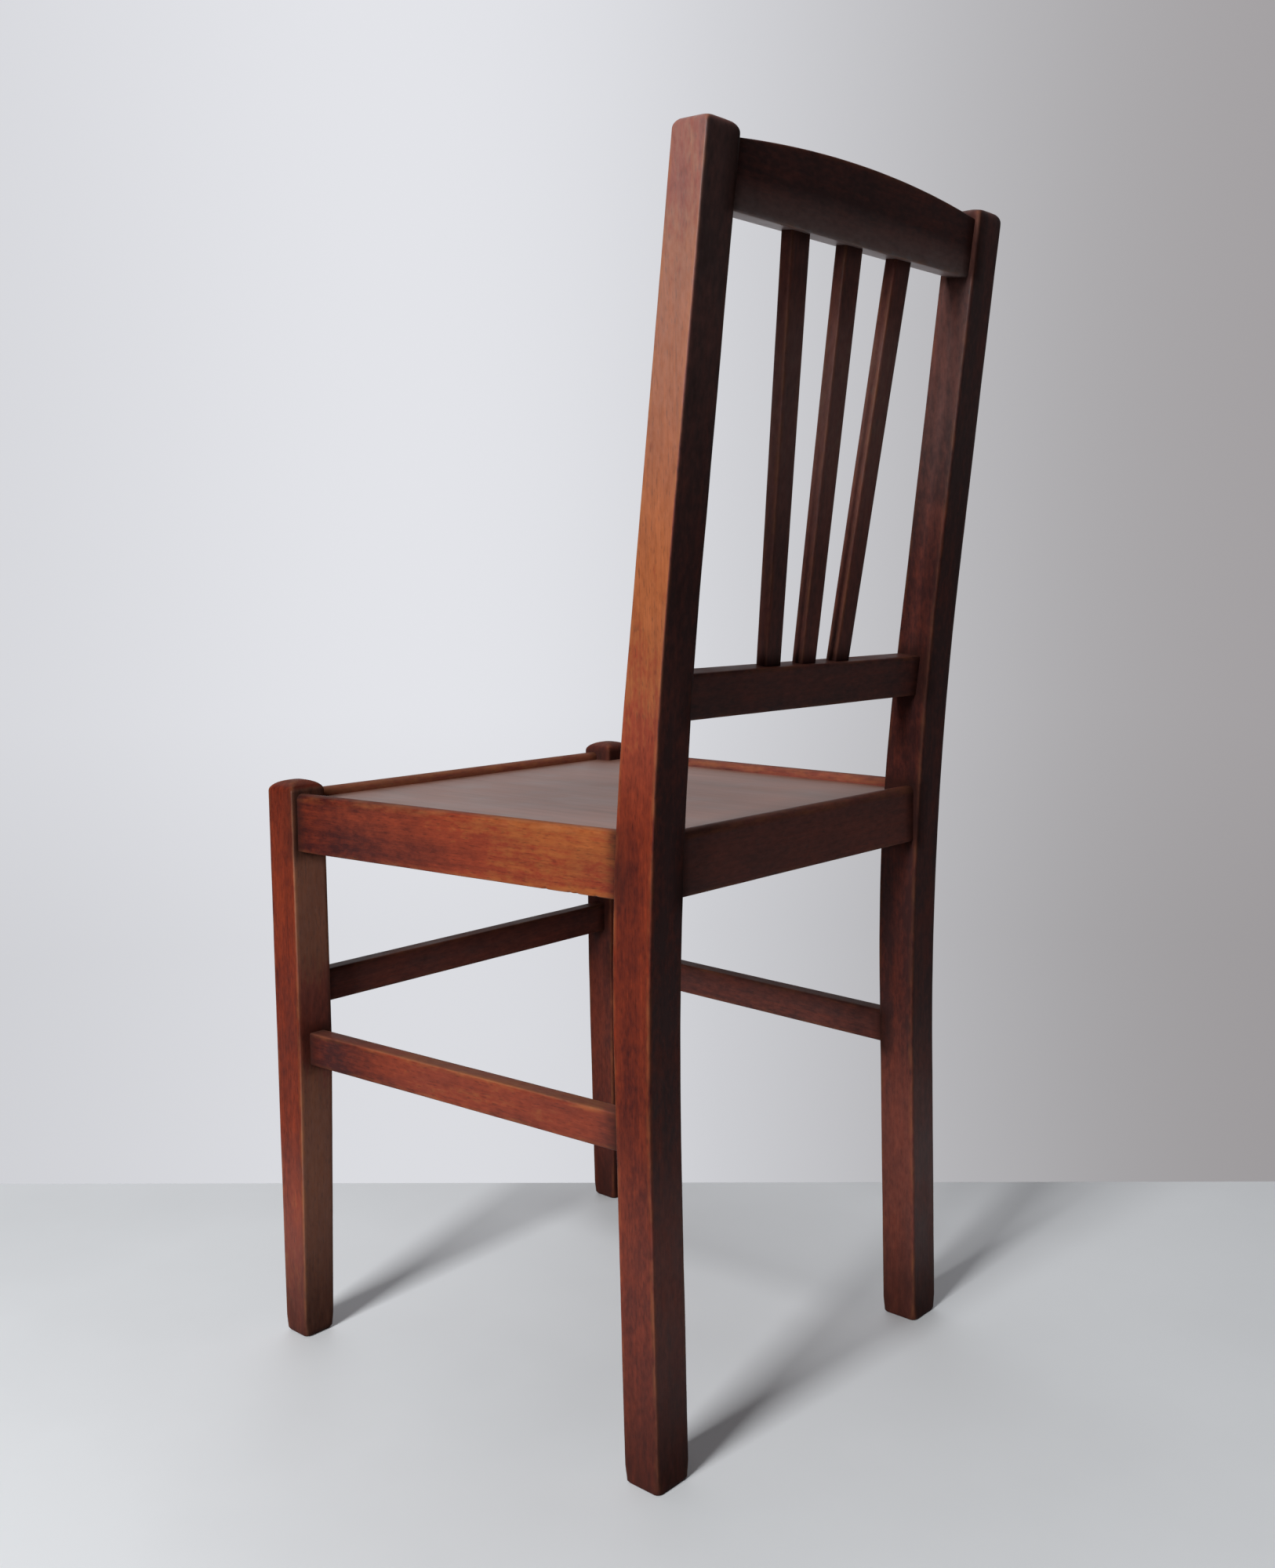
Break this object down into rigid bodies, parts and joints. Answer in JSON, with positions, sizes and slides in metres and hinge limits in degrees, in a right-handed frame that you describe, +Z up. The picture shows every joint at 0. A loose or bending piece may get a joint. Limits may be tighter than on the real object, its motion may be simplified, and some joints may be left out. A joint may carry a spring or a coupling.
{
  "type": "bistro chair",
  "caption": "Wooden bistro chair with bent rear posts, fanned back slats under an arched crest, a boxed seat frame round a plywood panel, and side and front stretchers.",
  "frame": {"origin": "on the floor, in the middle of the chair's bounding box seen from above", "axes": "+Z up, -Y the way the sitter faces, +X the sitter's left"},
  "size_m": [0.398, 0.4362, 0.8884],
  "materials": {
    "stained_beech": "red-brown stain under worn satin lacquer",
    "stained_plywood": "grey-brown stain under worn satin lacquer",
    "bare_beech": "unfinished",
    "zinc_steel": "zinc plated"
  },
  "bodies": {
    "root": {"rear_post_left": "stained_beech", "rear_post_right": "stained_beech", "front_leg_left": "stained_beech", "front_leg_right": "stained_beech", "front_seat_rail": "stained_beech", "rear_seat_rail": "stained_beech", "side_seat_rail_left": "stained_beech", "side_seat_rail_right": "stained_beech", "seat_panel": "stained_plywood", "crest_rail": "stained_beech", "lower_back_rail": "stained_beech", "back_slat_left": "stained_beech", "back_slat_middle": "stained_beech", "back_slat_right": "stained_beech", "front_stretcher": "stained_beech", "side_stretcher_left": "stained_beech", "side_stretcher_right": "stained_beech", "corner_block_front_left": "bare_beech", "corner_block_front_right": "bare_beech", "corner_block_rear_left": "bare_beech", "corner_block_rear_right": "bare_beech", "corner_block_screws": "zinc_steel"}
  },
  "joints": []
}
